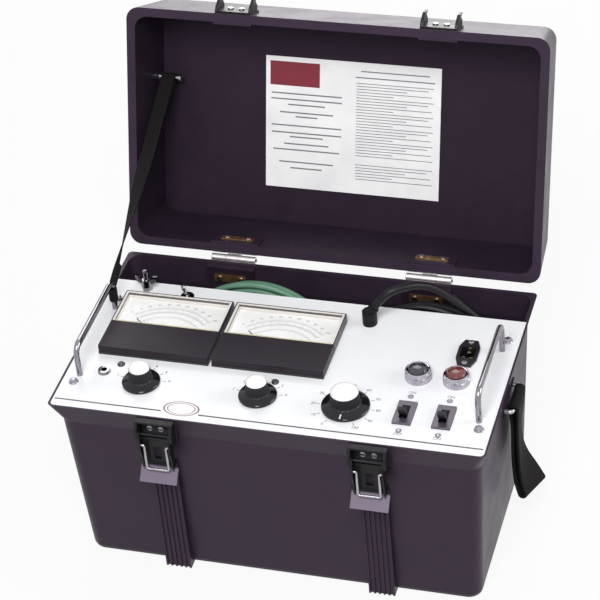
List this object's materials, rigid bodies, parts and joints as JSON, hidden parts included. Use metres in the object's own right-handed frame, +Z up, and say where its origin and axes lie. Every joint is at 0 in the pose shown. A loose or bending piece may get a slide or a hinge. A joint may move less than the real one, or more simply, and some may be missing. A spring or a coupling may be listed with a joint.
{
  "type": "portable insulation tester",
  "caption": "Portable high-voltage insulation tester: meters, knobs, lamps and breakers on a panel in a moulded carrying case with hinged lid, latches and stowed leads.",
  "frame": {"origin": "centre of the tub's base, on the rest face", "axes": "+X to the right seen from the front, +Y towards the hinges, +Z up; the lid stands open at rest"},
  "size_m": [0.509, 0.4568, 0.482],
  "materials": {
    "case_plastic": "moulded, fine grain, satin",
    "bright_steel": "bright plated",
    "brass_plate": "yellow passivated plating",
    "card": "matt printed card",
    "black_metal": "black satin",
    "webbing": "woven black webbing",
    "chrome": "polished",
    "white_panel": "white semi-gloss enamel",
    "meter_frame": "satin bezel",
    "black_gloss": "polished black",
    "window": "clear",
    "dial": "white matt with black scale",
    "steel": "bare steel",
    "black_paint": "matt black",
    "bakelite": "brown moulding",
    "dark_lens": "dark translucent",
    "red_lens": "red translucent",
    "brass": "plain",
    "grey_sheet": "grey satin",
    "black_rubber": "smooth rubber",
    "green_rubber": "smooth green sheath",
    "winding": "varnished tape",
    "board": "paper laminate"
  },
  "bodies": {
    "case": {"case_tub": "case_plastic", "case_rivets": "bright_steel", "pivot_pins": "bright_steel", "hinge_leaves_case": "brass_plate", "latch_brackets": "black_metal", "strap_bars": "chrome", "front_panel": "white_panel", "panel_screws": "bright_steel", "panel_handles": "chrome", "meter_cases": "meter_frame", "meter_covers": "black_gloss", "meter_windows": "window", "meter_dials": "dial", "meter_movements": "steel", "rotary_switches": "bakelite", "variable_transformer": "bakelite", "earth_terminal": "bright_steel", "toggle_switch": "chrome", "recorder_jack": "chrome", "zero_plugs": "black_gloss", "lamp_bezels": "chrome", "lamp_lens_dark": "dark_lens", "lamp_lens_red": "red_lens", "lamp_holders": "bakelite", "breakers": "black_gloss", "mains_inlet": "black_gloss", "inlet_pins": "brass", "lead_well": "grey_sheet", "lead_gland": "black_rubber", "test_lead": "black_rubber", "test_lead_coil": "black_rubber", "test_lead_sleeve": "black_rubber", "earth_lead": "green_rubber", "earth_lugs": "brass", "lid_stay": "webbing", "transformer_core": "steel", "transformer_winding": "winding", "rectifier_board": "board"},
    "lid": {"case_lid": "case_plastic", "hinge_leaves_lid": "brass_plate", "lid_backers": "brass_plate", "lid_rivets": "bright_steel", "lid_keepers": "black_metal", "instruction_card": "card"},
    "latch_lever_left": {"latch_lever_left": "black_metal"},
    "latch_lever_right": {"latch_lever_right": "black_metal"},
    "latch_bail_left": {"latch_bail_left": "bright_steel"},
    "latch_bail_right": {"latch_bail_right": "bright_steel"},
    "carrying_loop_left": {"carrying_loop_left": "webbing"},
    "carrying_loop_right": {"carrying_loop_right": "webbing"},
    "multiplier_knob": {"multiplier_knob": "black_gloss"},
    "range_knob": {"range_knob": "black_gloss"},
    "output_knob": {"output_knob": "black_gloss"},
    "toggle_bat": {"toggle_bat": "chrome"},
    "breaker_lever_left": {"breaker_lever_left": "black_gloss"},
    "breaker_lever_right": {"breaker_lever_right": "black_gloss"},
    "meter_needle_left": {"meter_needle_left": "black_paint"},
    "meter_needle_right": {"meter_needle_right": "black_paint"},
    "wing_nut": {"wing_nut": "chrome"}
  },
  "joints": [
    {"name": "lid_hinge", "type": "hinge", "parent": "case", "child": "lid", "pos_m": [0, 0.14, 0.213], "axis": [1, 0, 0], "range_deg": [0, 108], "deforming": ["lid_stay"]},
    {"name": "latch_left", "type": "hinge", "parent": "case", "child": "latch_lever_left", "pos_m": [-0.112, -0.142, 0.197], "axis": [-1, 0, 0], "range_deg": [0, 95]},
    {"name": "bail_left", "type": "hinge", "parent": "latch_lever_left", "child": "latch_bail_left", "pos_m": [-0.112, -0.145, 0.184], "axis": [1, 0, 0], "range_deg": [-170, 0]},
    {"name": "latch_right", "type": "hinge", "parent": "case", "child": "latch_lever_right", "pos_m": [0.112, -0.142, 0.197], "axis": [-1, 0, 0], "range_deg": [0, 95]},
    {"name": "bail_right", "type": "hinge", "parent": "latch_lever_right", "child": "latch_bail_right", "pos_m": [0.112, -0.145, 0.184], "axis": [1, 0, 0], "range_deg": [-170, 0]},
    {"name": "loop_left", "type": "hinge", "parent": "case", "child": "carrying_loop_left", "pos_m": [-0.231, 0.011, 0.169], "axis": [0, 1, 0], "range_deg": [0, 100]},
    {"name": "loop_right", "type": "hinge", "parent": "case", "child": "carrying_loop_right", "pos_m": [0.231, 0.011, 0.169], "axis": [0, -1, 0], "range_deg": [0, 100]},
    {"name": "multiplier_turn", "type": "hinge", "parent": "case", "child": "multiplier_knob", "pos_m": [-0.144, -0.082, 0.213], "axis": [0, 0, 1], "range_deg": [-75, 75]},
    {"name": "range_turn", "type": "hinge", "parent": "case", "child": "range_knob", "pos_m": [-0.018, -0.082, 0.213], "axis": [0, 0, 1], "range_deg": [-75, 75]},
    {"name": "output_turn", "type": "hinge", "parent": "case", "child": "output_knob", "pos_m": [0.075, -0.082, 0.213], "axis": [0, 0, 1], "range_deg": [-300, 0]},
    {"name": "toggle_throw", "type": "hinge", "parent": "case", "child": "toggle_bat", "pos_m": [-0.14, 0.0645, 0.2125], "axis": [0, 1, 0], "range_deg": [0, 28]},
    {"name": "breaker_left", "type": "hinge", "parent": "case", "child": "breaker_lever_left", "pos_m": [0.1365, -0.082, 0.2095], "axis": [1, 0, 0], "range_deg": [-56, 0]},
    {"name": "breaker_right", "type": "hinge", "parent": "case", "child": "breaker_lever_right", "pos_m": [0.177, -0.082, 0.2095], "axis": [1, 0, 0], "range_deg": [-56, 0]},
    {"name": "needle_left", "type": "hinge", "parent": "case", "child": "meter_needle_left", "pos_m": [-0.1435, -0.0205, 0.2177], "axis": [0, 0, 1], "range_deg": [-94, 0]},
    {"name": "needle_right", "type": "hinge", "parent": "case", "child": "meter_needle_right", "pos_m": [-0.0188, -0.0205, 0.2177], "axis": [0, 0, 1], "range_deg": [-94, 0]},
    {"name": "wing_nut_turn", "type": "hinge", "parent": "case", "child": "wing_nut", "pos_m": [-0.188, 0.072, 0.22], "axis": [0, 0, 1], "continuous": true}
  ]
}
